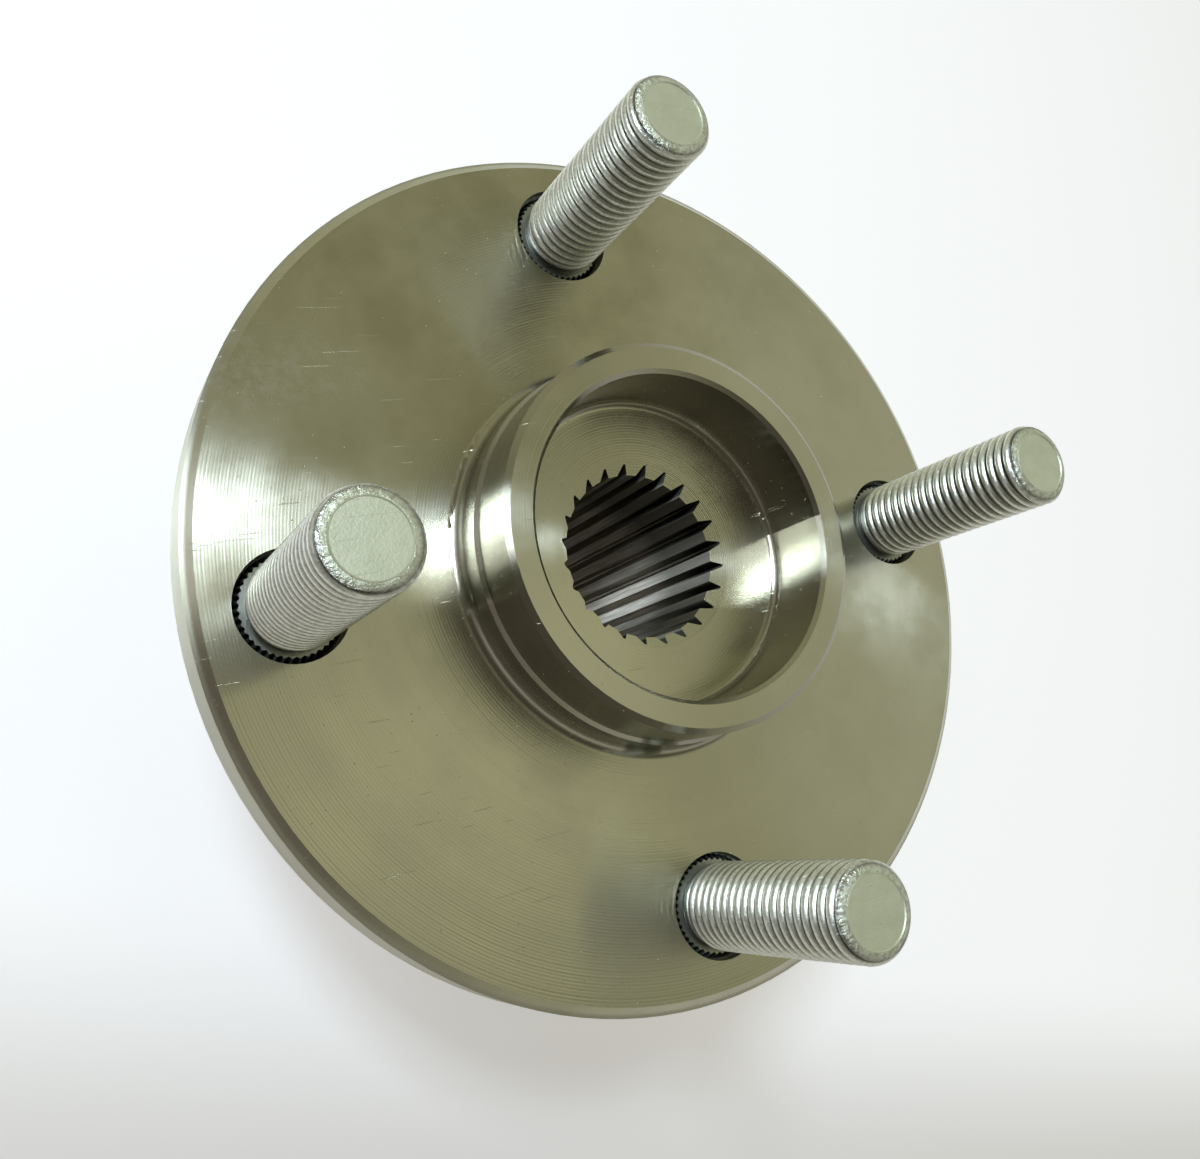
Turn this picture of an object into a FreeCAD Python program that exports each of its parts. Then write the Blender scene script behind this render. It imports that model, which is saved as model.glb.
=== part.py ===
import FreeCAD, Part
import math
import os
from types import SimpleNamespace

import Sketcher

# Driven-wheel hub bearing, in millimetres.
# Z is the axle axis and points outboard. The origin is the centre of the face that the wheel
# is clamped against, so heights above zero are outboard of it and depths below zero inboard.

SIZES = (
    # Wheel flange
    ("flange_thickness", 8.0, "wheel flange at its rim"),
    ("rim_distance", 12.35, "stud axis to the flange rim"),
    ("rim_bevel_width", 1.43, "front rim bevel, across"),
    ("rim_bevel_depth", 0.95, "front rim bevel, along the axis"),
    ("back_bevel", 0.8, "back rim bevel"),
    ("boss_rise", 2.5, "height of the raised boss behind the flange"),
    ("boss_margin", 4.8, "boss outside the lip that runs on it"),
    ("boss_slope", 3.0, "width of its sloping edge"),
    ("neck_fillet", 1.5, "fillet between boss and seal land"),
    # Pilots and nut recess
    ("nut_seat_width", 8.8, "spline mouth to the wall of the nut recess"),
    ("pilot_wall", 4.4, "nut recess to the wheel pilot"),
    ("pilot_step", 0.5, "disc pilot outside the wheel pilot"),
    ("disc_pilot_height", 5.75, "height above the wheel face"),
    ("pilot_root_fillet", 1.6, "fillet at the wheel face"),
    ("pilot_height", 13.9, "top of the wheel pilot above the wheel face"),
    ("pilot_bevel_width", 0.8, "top bevel, across"),
    ("pilot_bevel_height", 0.5, "top bevel, along the axis"),
    ("recess_mouth_bevel", 0.55, "bevel at the mouth of the recess"),
    ("recess_floor_height", 2.75, "nut seat above the wheel face"),
    ("recess_floor_fillet", 1.3, "fillet round the nut seat"),
    # Axle spline
    ("spline_teeth", 24, "number of spline grooves"),
    ("spline_groove_depth", 1.3, "tooth lands to the groove bottoms"),
    ("spline_groove_width", 1.6, "groove at the lands"),
    ("spline_groove_bottom", 0.35, "groove at its bottom"),
    ("spline_mouth_bevel", 0.55, "mouth bevel beyond the groove bottoms"),
    ("spline_depth", 42.0, "inboard end of the lands below the wheel face"),
    ("relief_clearance", 0.65, "plain bore beyond the groove bottoms"),
    ("relief_bevel", 1.0, "bevel at the inboard end of that bore"),
    ("spindle_wall", 4.7, "plain bore to the inner ring seat"),
    # Wheel studs
    ("stud_count", 4, "number of wheel studs"),
    ("stud_head_clearance", 2.0, "stud heads to the foot of the boss"),
    ("stud_thread_diameter", 12.0, "thread of the studs"),
    ("stud_length", 31.4, "reach of a stud above the wheel face"),
    ("stud_lead_width", 0.8, "lead of the thread, across"),
    ("stud_lead_length", 1.4, "lead of the thread, along the axis"),
    ("stud_end_width", 0.9, "bevel round the stud's end, across"),
    ("stud_end_length", 0.4, "bevel round the stud's end, along the axis"),
    ("stud_knurl_height", 1.0, "pressed shank beyond the thread"),
    ("stud_shank_setback", 1.0, "shank end below the wheel face"),
    ("stud_head_rim", 2.0, "head beyond the shank"),
    ("stud_head_thickness", 4.2, "stud head"),
    ("stud_head_bevel", 0.8, "edge of the stud head"),
    ("hole_mouth_clearance", 0.25, "mouth of a stud hole round the shank"),
    # Ball rows
    ("ball_diameter", 11.1125, "seven-sixteenths inch ball"),
    ("balls_per_row", 12, "balls in each row"),
    ("pitch_diameter", 56.0, "circle through the ball centres"),
    ("contact_angle", 36.0, "degrees from the plane of the row"),
    ("groove_conformity", 1.04, "groove radius over ball radius"),
    ("ball_clearance", 0.05, "ball to raceway at the contact"),
    ("row_spacing", 15.5, "between the two rows"),
    ("inner_shoulder_drop", 1.7, "pitch circle to the high inner shoulders and seal lands"),
    ("inner_low_drop", 4.8, "pitch circle to the low inner shoulders"),
    ("outer_shoulder_rise", 1.9, "pitch circle to the land between the outer raceways"),
    ("outer_low_rise", 5.0, "pitch circle to the low outer shoulders"),
    # Inner ring and formed collar
    ("inner_ring_wall", 4.6, "seat on the spindle to the low shoulder"),
    ("inner_ring_setback", 0.5, "inner ring's end inside the outer ring's"),
    ("ring_corner_bevel", 1.2, "inner ring bore corner, filled by the collar"),
    ("ring_edge_bevel", 0.6, "inner ring outside corner"),
    ("collar_reach", 4.9, "formed collar beyond the seat"),
    ("collar_thickness", 3.5, "collar along the axis"),
    ("collar_fillet", 1.6, "rounded edge of the collar"),
    # Outer ring
    ("outer_ring_gap", 2.5, "boss to the outer ring's outboard end"),
    ("seal_seat_step", 1.2, "low shoulders to the seal seats"),
    ("barrel_wall", 5.8, "seal seat to the outside of the barrel"),
    ("barrel_bevel", 1.0, "bevel at its outboard end"),
    ("barrel_fillet", 1.5, "fillet between barrel and flange"),
    ("spigot_wall", 3.8, "seal seat to the spigot that fits the steering knuckle"),
    ("spigot_length", 15.5, "spigot inboard of the face that seats on the knuckle"),
    ("spigot_bevel", 1.2, "lead-in of the spigot"),
    ("knuckle_flange_thickness", 12.0, "flange that bolts to the knuckle"),
    ("knuckle_flange_waist", 2.0, "flange beyond the barrel between its lobes"),
    ("knuckle_bolt_count", 4, "number of bolt lobes"),
    ("knuckle_bolt_turn", 45.0, "degrees from the stud plane to a bolt hole"),
    ("knuckle_hole_diameter", 10.5, "core of the bolt threads"),
    ("knuckle_hole_clearance", 0.25, "bolt hole to the fillet at the barrel"),
    ("lobe_wall", 4.75, "wall round a bolt hole"),
    ("lobe_hollow_radius", 12.0, "hollow curve from a lobe to the waist"),
    # Cages
    ("cage_clearance", 0.6, "cage to the high inner shoulders"),
    ("cage_wall", 3.4, "cage from inside to outside"),
    ("cage_back_wall", 1.3, "closed side of the cage behind its pockets"),
    ("cage_end_gap", 0.4, "closed side of the cage to the seal seat"),
    ("cage_prong_reach", 3.2, "from ball centre to the open side"),
    ("pocket_clearance", 0.15, "ball to pocket"),
    # Seals
    ("seal_sheet", 1.0, "steel of the seal cases"),
    ("seal_setback", 0.4, "seal case inside the ring end"),
    ("seal_case_width", 4.4, "seal cases along the axis"),
    ("seal_web_gap", 3.7, "seal land to the seal case web"),
    ("seal_seat_clearance", 0.3, "seal case to the step of its seat"),
    ("lip_clearance", 0.1, "lips to the faces they wipe"),
    ("lip_land", 0.6, "width of a lip's edge"),
    ("slinger_sheet", 0.8, "steel of the slinger"),
    ("slinger_gap", 0.5, "slinger to the wall of the seal case"),
    ("slinger_setback", 0.8, "slinger web below the encoder face"),
    ("encoder_inset", 2.0, "seal land to the inside of the encoder ring"),
    ("encoder_gap", 0.3, "encoder ring to the wall of the seal case"),
)


class Size:
    """A length or angle: its present value, and the formula that ties it to the sheet."""

    def __init__(self, value, formula):
        self.value = float(value)
        self.formula = formula

    def __add__(self, other):
        other = as_size(other)
        return Size(self.value + other.value, f"({self.formula} + {other.formula})")

    def __sub__(self, other):
        other = as_size(other)
        return Size(self.value - other.value, f"({self.formula} - {other.formula})")

    def __mul__(self, other):
        other = as_size(other)
        return Size(self.value * other.value, f"({self.formula} * {other.formula})")

    def __truediv__(self, other):
        other = as_size(other)
        return Size(self.value / other.value, f"({self.formula} / {other.formula})")

    def __neg__(self):
        return Size(-self.value, f"(0 - {self.formula})")


def as_size(number):
    return number if isinstance(number, Size) else Size(number, repr(float(number)))


def cosine(angle):
    return Size(math.cos(math.radians(angle.value)), f"cos({angle.formula})")


def sine(angle):
    return Size(math.sin(math.radians(angle.value)), f"sin({angle.formula})")


def root(square):
    return Size(math.sqrt(square.value), f"sqrt({square.formula})")


doc = FreeCAD.newDocument("WheelHubBearing")
sheet = doc.addObject("Spreadsheet::Sheet", "Sizes")
for row, (alias, value, meaning) in enumerate(SIZES, start=1):
    sheet.set(f"A{row}", meaning)
    sheet.set(f"B{row}", str(value))
    sheet.setAlias(f"B{row}", alias)
doc.recompute()

size = SimpleNamespace(**{alias: Size(value, f"Sizes.{alias}") for alias, value, meaning in SIZES})
ZERO = as_size(0)

# Radii that several pieces share, from the ball circle inwards to the spline
pitch_radius = size.pitch_diameter / 2
ball_radius = size.ball_diameter / 2
groove_radius = ball_radius * size.groove_conformity
groove_shift = groove_radius - ball_radius - size.ball_clearance
land_radius = pitch_radius - size.inner_shoulder_drop
inner_low_radius = pitch_radius - size.inner_low_drop
seat_radius = inner_low_radius - size.inner_ring_wall
relief_radius = seat_radius - size.spindle_wall
spline_bottom_radius = relief_radius - size.relief_clearance
spline_land_radius = spline_bottom_radius - size.spline_groove_depth

# From the spline outwards to the wheel pilot, which comes to 54 mm across
spline_mouth_radius = spline_bottom_radius + size.spline_mouth_bevel
recess_radius = spline_mouth_radius + size.nut_seat_width
wheel_pilot_radius = recess_radius + size.pilot_wall
disc_pilot_radius = wheel_pilot_radius + size.pilot_step

# From the ball circle outwards to the spigot, which comes to 76 mm across
outer_low_radius = pitch_radius + size.outer_low_rise
seal_radius = outer_low_radius + size.seal_seat_step
case_radius = seal_radius - size.seal_sheet
web_radius = land_radius + size.seal_web_gap
barrel_radius = seal_radius + size.barrel_wall
spigot_radius = seal_radius + size.spigot_wall
waist_radius = barrel_radius + size.knuckle_flange_waist
knuckle_hole_radius = size.knuckle_hole_diameter / 2
lobe_radius = knuckle_hole_radius + size.lobe_wall
knuckle_bolt_radius = barrel_radius + size.barrel_fillet + size.knuckle_hole_clearance + knuckle_hole_radius

# From the seal outwards to the stud circle, which comes to 100 mm, and the rim
boss_lip_radius = web_radius + size.lip_land * 2
boss_radius = boss_lip_radius + size.boss_margin
thread_radius = size.stud_thread_diameter / 2
shank_radius = thread_radius + size.stud_knurl_height
head_radius = shank_radius + size.stud_head_rim
stud_circle_radius = boss_radius + size.boss_slope + size.stud_head_clearance + head_radius
flange_radius = stud_circle_radius + size.rim_distance

# Heights that several pieces share, from the wheel face inboard
flange_back = -size.flange_thickness
boss_back = flange_back - size.boss_rise
outer_top = boss_back - size.outer_ring_gap
outboard_case_top = outer_top - size.seal_setback
outboard_case_bottom = outboard_case_top - size.seal_case_width
outboard_seat = outboard_case_bottom - size.seal_seat_clearance
cage_back_reach = ball_radius + size.pocket_clearance + size.cage_back_wall
outboard_row = outboard_seat - size.cage_end_gap - cage_back_reach
ring_top = outboard_row - size.row_spacing / 2
inboard_row = outboard_row - size.row_spacing
inboard_seat = inboard_row - cage_back_reach - size.cage_end_gap
inboard_case_top = inboard_seat - size.seal_seat_clearance
inboard_case_bottom = inboard_case_top - size.seal_case_width
outer_bottom = inboard_case_bottom - size.seal_setback
knuckle_face = outer_bottom + size.spigot_length
ring_bottom = outer_bottom + size.inner_ring_setback
collar_bottom = ring_bottom - size.collar_thickness
slinger_web_bottom = outer_bottom + size.slinger_setback
slinger_web_top = slinger_web_bottom + size.slinger_sheet


def bind(feature, name, bound):
    feature.setExpression(name, bound.formula)


def origin_feature(body, role):
    return next(item for item in body.Origin.OriginFeatures if item.Role == role)


def new_body(name):
    body = doc.addObject("PartDesign::Body", name)
    body.Label = name
    return body


def new_sketch(body, name, plane, across=ZERO, up=ZERO):
    """A sketch on one of the body's own planes, moved sideways or along its normal."""
    sketch = body.newObject("Sketcher::SketchObject", name)
    sketch.AttachmentSupport = [(origin_feature(body, plane), "")]
    sketch.MapMode = "FlatFace"
    bind(sketch, "AttachmentOffset.Base.x", across)
    bind(sketch, "AttachmentOffset.Base.z", up)
    return sketch


def pin_point(sketch, geometry, end, across, up):
    """Hold one point of the sketch at bound distances from its origin."""
    for kind, distance in (("DistanceX", across), ("DistanceY", up)):
        index = sketch.addConstraint(Sketcher.Constraint(kind, -1, 1, geometry, end, distance.value))
        bind(sketch, f"Constraints[{index}]", distance)


def step_towards(corner, neighbour, distance):
    """The point at a distance from the corner, along a level or upright edge to its neighbour."""
    across, up = corner[:2]
    run = neighbour[0].value - across.value
    rise = neighbour[1].value - up.value
    if abs(run) > abs(rise):
        return (across + distance if run > 0 else across - distance, up)
    return (across, up + distance if rise > 0 else up - distance)


def cut_corners(corners):
    """Points of the outline, each with the radius of the arc that leaves it, or None.

    A corner may carry ("round", size) or ("bevel", size) where a level and an upright edge
    meet. It may carry ("arc", radius) or ("hollow", radius) where an arc runs from it to the
    next corner, bulging out of the outline or into it.
    """
    points = []
    for index, corner in enumerate(corners):
        if len(corner) == 2:
            points.append((*corner, None, False))
        elif corner[2] in ("arc", "hollow"):
            points.append((corner[0], corner[1], corner[3], corner[2] == "hollow"))
        else:
            before = step_towards(corner, corners[index - 1], corner[3])
            after = step_towards(corner, corners[(index + 1) % len(corners)], corner[3])
            points.append((*before, corner[3] if corner[2] == "round" else None, False))
            points.append((*after, None, False))
    return points


def arc_between(start, end, radius, left_hand):
    """Arc of less than a half turn, with its centre on the left of the way, or on the right."""
    middle = (start + end) / 2
    half = (end - start) / 2
    reach = math.sqrt(max(radius ** 2 - half.Length ** 2, 0))
    side = FreeCAD.Vector(-half.y, half.x, 0).normalize() * (1 if left_hand else -1)
    centre = middle + side * reach
    circle = Part.Circle(centre, FreeCAD.Vector(0, 0, 1), radius)
    first, last = (start, end) if left_hand else (end, start)
    begin = math.atan2(first.y - centre.y, first.x - centre.x)
    finish = math.atan2(last.y - centre.y, last.x - centre.x)
    return Part.ArcOfCircle(circle, begin, finish if finish > begin else finish + 2 * math.pi)


def draw_outline(sketch, corners):
    """A closed outline through the corners, every point held by the sheet's values."""
    points = cut_corners(corners)
    count = len(points)
    places = [FreeCAD.Vector(point[0].value, point[1].value, 0) for point in points]
    ends = []
    for index, (across, up, radius, hollow) in enumerate(points):
        start = places[index]
        end = places[(index + 1) % count]
        if radius is None:
            sketch.addGeometry(Part.LineSegment(start, end), False)
            ends.append((1, 2))
            continue
        before = start - places[index - 1]
        turns_left = before.x * (end.y - start.y) - before.y * (end.x - start.x) > 0
        left_hand = turns_left != hollow
        sketch.addGeometry(arc_between(start, end, radius.value, left_hand), False)
        ends.append((1, 2) if left_hand else (2, 1))
        fixed = sketch.addConstraint(Sketcher.Constraint("Radius", index, radius.value))
        bind(sketch, f"Constraints[{fixed}]", radius)
    for index, (across, up, radius, hollow) in enumerate(points):
        following = (index + 1) % count
        joined = Sketcher.Constraint("Coincident", index, ends[index][1], following, ends[following][0])
        sketch.addConstraint(joined)
        pin_point(sketch, index, ends[index][0], across, up)


def draw_circle(sketch, across, up, radius):
    centre = FreeCAD.Vector(across.value, up.value, 0)
    index = sketch.addGeometry(Part.Circle(centre, FreeCAD.Vector(0, 0, 1), radius.value), False)
    pin_point(sketch, index, 3, across, up)
    fixed = sketch.addConstraint(Sketcher.Constraint("Radius", index, radius.value))
    bind(sketch, f"Constraints[{fixed}]", radius)


def turn(body, name, kind, sketch):
    """A full turn of the sketch about its own upright axis, added or cut away."""
    feature = body.newObject(kind, name)
    feature.Profile = sketch
    feature.ReferenceAxis = (sketch, ["V_Axis"])
    feature.Angle = 360
    body.Tip = feature
    return feature


def turned_body(name, corners):
    """A piece turned about Z from an outline of (radius, height) corners."""
    body = new_body(name)
    sketch = new_sketch(body, f"{name}_section", "XZ_Plane")
    draw_outline(sketch, corners)
    turn(body, f"{name}_turned", "PartDesign::Revolution", sketch)
    return body


def cut_ball_groove(body, name, row, side):
    """Raceway groove; side is 1 on an outer raceway and -1 on an inner one.

    The contact line leans towards the middle of the bearing on the outer raceways, so the
    groove's centre stands off the ball's centre along that line.
    """
    lean = 1 if row is outboard_row else -1
    across = pitch_radius - groove_shift * cosine(size.contact_angle) * side
    up = row + groove_shift * sine(size.contact_angle) * (side * lean)
    sketch = new_sketch(body, f"{name}_circle", "XZ_Plane")
    draw_circle(sketch, across, up, groove_radius)
    turn(body, name, "PartDesign::Groove", sketch)


def repeat_round_axis(body, name, feature, count):
    pattern = body.newObject("PartDesign::PolarPattern", name)
    pattern.Originals = [feature]
    pattern.Axis = (origin_feature(body, "Z_Axis"), [""])
    pattern.Angle = 360
    bind(pattern, "Occurrences", count)
    body.Tip = pattern


def make_hub_flange():
    """Wheel flange, pilots, nut recess, splined bore, outboard raceway, spindle and collar."""
    collar_radius = seat_radius + size.collar_reach
    mouth_depth = spline_mouth_radius - spline_land_radius
    floor = size.recess_floor_height
    top = size.pilot_height
    body = turned_body("hub_flange", [
        (relief_radius, collar_bottom, "bevel", size.relief_bevel),
        (collar_radius, collar_bottom, "round", size.collar_fillet),
        (collar_radius, ring_bottom),
        (seat_radius + size.ring_corner_bevel, ring_bottom),
        (seat_radius, ring_bottom + size.ring_corner_bevel),
        (seat_radius, ring_top),
        (inner_low_radius, ring_top),
        (inner_low_radius, outboard_row),
        (land_radius, outboard_row),
        (land_radius, boss_back, "round", size.neck_fillet),
        (boss_radius, boss_back),
        (boss_radius + size.boss_slope, flange_back),
        (flange_radius, flange_back, "bevel", size.back_bevel),
        (flange_radius, -size.rim_bevel_depth),
        (flange_radius - size.rim_bevel_width, ZERO),
        (disc_pilot_radius, ZERO, "round", size.pilot_root_fillet),
        (disc_pilot_radius, size.disc_pilot_height - size.pilot_step),
        (wheel_pilot_radius, size.disc_pilot_height),
        (wheel_pilot_radius, top - size.pilot_bevel_height),
        (wheel_pilot_radius - size.pilot_bevel_width, top),
        (recess_radius + size.recess_mouth_bevel, top),
        (recess_radius, top - size.recess_mouth_bevel),
        (recess_radius, floor, "round", size.recess_floor_fillet),
        (spline_mouth_radius, floor),
        (spline_land_radius, floor - mouth_depth),
        (spline_land_radius, -size.spline_depth),
        (relief_radius, spline_land_radius - relief_radius - size.spline_depth),
    ])
    cut_ball_groove(body, "outboard_inner_raceway", outboard_row, -1)
    cut_stud_holes(body)
    cut_spline(body)
    return body


def cut_stud_holes(body):
    """Pressed holes for the studs, opened a little at the wheel face."""
    mouth = shank_radius + size.hole_mouth_clearance
    mouth_bottom = -size.stud_shank_setback - size.hole_mouth_clearance
    overrun = size.flange_thickness / 4
    sketch = new_sketch(body, "stud_hole_section", "XZ_Plane", across=stud_circle_radius)
    draw_outline(sketch, [
        (ZERO, flange_back - overrun),
        (shank_radius, flange_back - overrun),
        (shank_radius, mouth_bottom - size.hole_mouth_clearance),
        (mouth, mouth_bottom),
        (mouth, overrun),
        (ZERO, overrun),
    ])
    hole_cut = turn(body, "stud_hole", "PartDesign::Groove", sketch)
    repeat_round_axis(body, "stud_holes", hole_cut, size.stud_count)


def cut_spline(body):
    """One pointed groove from the nut seat to the relief bore, repeated round the bore."""
    half_mouth = size.spline_groove_width / 2
    half_bottom = size.spline_groove_bottom / 2
    overrun = relief_radius - spline_land_radius
    sketch = new_sketch(body, "spline_groove_section", "XY_Plane", up=size.recess_floor_height)
    draw_outline(sketch, [
        (spline_land_radius - half_mouth, -half_mouth),
        (spline_land_radius, -half_mouth),
        (spline_bottom_radius, -half_bottom),
        (spline_bottom_radius, half_bottom),
        (spline_land_radius, half_mouth),
        (spline_land_radius - half_mouth, half_mouth),
    ])
    groove = body.newObject("PartDesign::Pocket", "spline_groove")
    groove.Profile = sketch
    bind(groove, "Length", size.recess_floor_height + size.spline_depth + overrun)
    repeat_round_axis(body, "spline_grooves", groove, size.spline_teeth)


def make_wheel_stud(number):
    """Pressed stud: head behind the flange, shank in its hole, thread standing outboard."""
    shank_end = -size.stud_shank_setback
    head_bottom = flange_back - size.stud_head_thickness
    lead_radius = thread_radius - size.stud_lead_width
    lead_top = size.stud_length - size.stud_end_length
    body = turned_body(f"wheel_stud_{number}", [
        (ZERO, head_bottom),
        (head_radius, head_bottom, "bevel", size.stud_head_bevel),
        (head_radius, flange_back),
        (shank_radius, flange_back),
        (shank_radius, shank_end),
        (thread_radius, shank_end),
        (thread_radius, lead_top - size.stud_lead_length),
        (lead_radius, lead_top),
        (lead_radius - size.stud_end_width, size.stud_length),
        (ZERO, size.stud_length),
    ])
    angle = as_size(360) / size.stud_count * (number - 1)
    bind(body, "Placement.Base.x", stud_circle_radius * cosine(angle))
    bind(body, "Placement.Base.y", stud_circle_radius * sine(angle))


def make_inner_ring():
    """Separate inner ring of the inboard row, held on the spindle by the formed collar."""
    body = turned_body("inner_ring", [
        (seat_radius, ring_top),
        (inner_low_radius, ring_top),
        (inner_low_radius, inboard_row),
        (land_radius, inboard_row),
        (land_radius, ring_bottom, "bevel", size.ring_edge_bevel),
        (seat_radius + size.ring_corner_bevel, ring_bottom),
        (seat_radius, ring_bottom + size.ring_corner_bevel),
    ])
    cut_ball_groove(body, "inboard_inner_raceway", inboard_row, -1)


def make_outer_ring():
    """Stationary ring: both outer raceways, seal seats, spigot and the flange for the knuckle."""
    flange_top = knuckle_face + size.knuckle_flange_thickness
    body = turned_body("outer_ring", [
        (ZERO, outer_bottom),
        (spigot_radius, outer_bottom, "bevel", size.spigot_bevel),
        (spigot_radius, knuckle_face),
        (waist_radius, knuckle_face),
        (waist_radius, flange_top),
        (barrel_radius, flange_top, "round", size.barrel_fillet),
        (barrel_radius, outer_top, "bevel", size.barrel_bevel),
        (ZERO, outer_top),
    ])
    add_knuckle_lobes(body)
    cut_outer_bore(body)
    cut_ball_groove(body, "outboard_outer_raceway", outboard_row, 1)
    cut_ball_groove(body, "inboard_outer_raceway", inboard_row, 1)
    cut_knuckle_holes(body)
    bind(body, "Placement.Rotation.Angle", size.knuckle_bolt_turn)


def add_knuckle_lobes(body):
    """Bolt lobes, each a rounded end that a hollow curve on either side joins to the waist.

    The centre of a hollow curve stands off the waist and off the lobe by the curve's radius.
    """
    hollow = size.lobe_hollow_radius
    from_axis = waist_radius + hollow
    from_lobe = lobe_radius + hollow
    squares = from_axis * from_axis + knuckle_bolt_radius * knuckle_bolt_radius - from_lobe * from_lobe
    lean = squares / (knuckle_bolt_radius * from_axis * 2)
    spread = root(as_size(1) - lean * lean)
    lobe_share = lobe_radius / from_lobe
    lobe_across = knuckle_bolt_radius + (from_axis * lean - knuckle_bolt_radius) * lobe_share
    lobe_up = from_axis * spread * lobe_share
    sketch = new_sketch(body, "knuckle_lobe_section", "XY_Plane", up=knuckle_face)
    draw_outline(sketch, [
        (waist_radius * lean, -(waist_radius * spread), "hollow", hollow),
        (lobe_across, -lobe_up, "arc", lobe_radius),
        (lobe_across, lobe_up, "hollow", hollow),
        (waist_radius * lean, waist_radius * spread),
    ])
    pad = body.newObject("PartDesign::Pad", "knuckle_lobe")
    pad.Profile = sketch
    bind(pad, "Length", size.knuckle_flange_thickness)
    repeat_round_axis(body, "knuckle_lobes", pad, size.knuckle_bolt_count)


def cut_outer_bore(body):
    """Seal seats at both ends, low shoulders, and the land between the two raceways."""
    land = pitch_radius + size.outer_shoulder_rise
    sketch = new_sketch(body, "outer_bore_section", "XZ_Plane")
    draw_outline(sketch, [
        (ZERO, outer_bottom),
        (seal_radius, outer_bottom),
        (seal_radius, inboard_seat),
        (outer_low_radius, inboard_seat),
        (outer_low_radius, inboard_row),
        (land, inboard_row),
        (land, outboard_row),
        (outer_low_radius, outboard_row),
        (outer_low_radius, outboard_seat),
        (seal_radius, outboard_seat),
        (seal_radius, outer_top),
        (ZERO, outer_top),
    ])
    turn(body, "outer_bore", "PartDesign::Groove", sketch)


def cut_knuckle_holes(body):
    sketch = new_sketch(body, "knuckle_hole_circle", "XY_Plane", up=knuckle_face)
    draw_circle(sketch, knuckle_bolt_radius, ZERO, knuckle_hole_radius)
    hole = body.newObject("PartDesign::Pocket", "knuckle_hole")
    hole.Profile = sketch
    hole.Reversed = True
    bind(hole, "Length", size.knuckle_flange_thickness)
    repeat_round_axis(body, "knuckle_holes", hole, size.knuckle_bolt_count)


def make_ball(name, row, angle):
    ball = doc.addObject("Part::Sphere", name)
    ball.Label = name
    bind(ball, "Radius", ball_radius)
    bind(ball, "Placement.Base.x", pitch_radius * cosine(angle))
    bind(ball, "Placement.Base.y", pitch_radius * sine(angle))
    bind(ball, "Placement.Base.z", row)


def make_ball_row(side, row):
    """The balls of one row, spread evenly round the pitch circle."""
    step = as_size(360) / size.balls_per_row
    for number in range(int(size.balls_per_row.value)):
        make_ball(f"ball_{side}_{number + 1:02d}", row, step * number)


def make_cage(side, row, outward):
    """Snap-in cage: a closed back ring on the seal side, and prongs between the balls."""
    inside = land_radius + size.cage_clearance
    outside = inside + size.cage_wall
    back = row + cage_back_reach * outward
    prongs = row - size.cage_prong_reach * outward
    body = turned_body(f"cage_{side}", [
        (inside, back),
        (outside, back),
        (outside, prongs),
        (inside, prongs),
    ])
    pocket = body.newObject("PartDesign::SubtractiveSphere", f"{side}_pocket")
    pocket.AttachmentSupport = [(origin_feature(body, "XY_Plane"), "")]
    pocket.MapMode = "FlatFace"
    bind(pocket, "AttachmentOffset.Base.x", pitch_radius)
    bind(pocket, "AttachmentOffset.Base.z", row)
    bind(pocket, "Radius", ball_radius + size.pocket_clearance)
    repeat_round_axis(body, f"{side}_pockets", pocket, size.balls_per_row)


def make_outboard_seal():
    """Steel case pressed into the outer ring, with two radial lips and one on the boss."""
    top = outboard_case_top
    bottom = outboard_case_bottom
    web_top = bottom + size.seal_sheet
    turned_body("seal_case_outboard", [
        (seal_radius, top),
        (seal_radius, bottom),
        (web_radius, bottom),
        (web_radius, web_top),
        (case_radius, web_top),
        (case_radius, top),
    ])
    lip = land_radius + size.lip_clearance
    edge = size.lip_land
    boss_lip = boss_back - size.lip_clearance
    root_radius = web_radius - size.seal_sheet / 2
    inner_root = root_radius - edge
    turned_body("seal_lips_outboard", [
        (web_radius, bottom),
        (root_radius, bottom),
        (lip, bottom - edge),
        (lip, bottom),
        (inner_root, web_top + edge / 2),
        (lip, web_top + edge * 4),
        (lip, web_top + edge * 5),
        (root_radius, web_top + edge * 3.5),
        (web_radius + edge, boss_lip),
        (boss_lip_radius, boss_lip),
        (web_radius + edge, web_top + edge * 2),
        (case_radius, web_top + edge),
        (case_radius, web_top),
        (web_radius, web_top),
    ])


def make_inboard_seal():
    """Steel case pressed into the outer ring, with lips that wipe the slinger."""
    top = inboard_case_top
    bottom = inboard_case_bottom
    web_bottom = top - size.seal_sheet
    turned_body("seal_case_inboard", [
        (seal_radius, bottom),
        (seal_radius, top),
        (web_radius, top),
        (web_radius, web_bottom),
        (case_radius, web_bottom),
        (case_radius, bottom),
    ])
    sleeve = land_radius + size.slinger_sheet + size.lip_clearance
    edge = size.lip_land
    face_lip = slinger_web_top + size.lip_clearance
    root_radius = web_radius - size.seal_sheet / 2
    turned_body("seal_lips_inboard", [
        (web_radius, top),
        (root_radius, top),
        (sleeve, top - edge),
        (sleeve, top - edge * 2),
        (root_radius, web_bottom - edge / 2),
        (web_radius, face_lip),
        (web_radius + edge, face_lip),
        (web_radius + edge * 2, web_bottom - edge),
        (case_radius, web_bottom - edge),
        (case_radius, web_bottom),
        (web_radius, web_bottom),
    ])


def make_slinger():
    """Steel ring pressed on the inner ring, turning inside the inboard seal."""
    sleeve = land_radius + size.slinger_sheet
    outside = case_radius - size.slinger_gap
    turned_body("slinger", [
        (land_radius, inboard_case_top),
        (sleeve, inboard_case_top),
        (sleeve, slinger_web_top),
        (outside, slinger_web_top),
        (outside, slinger_web_bottom),
        (land_radius, slinger_web_bottom),
    ])


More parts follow.
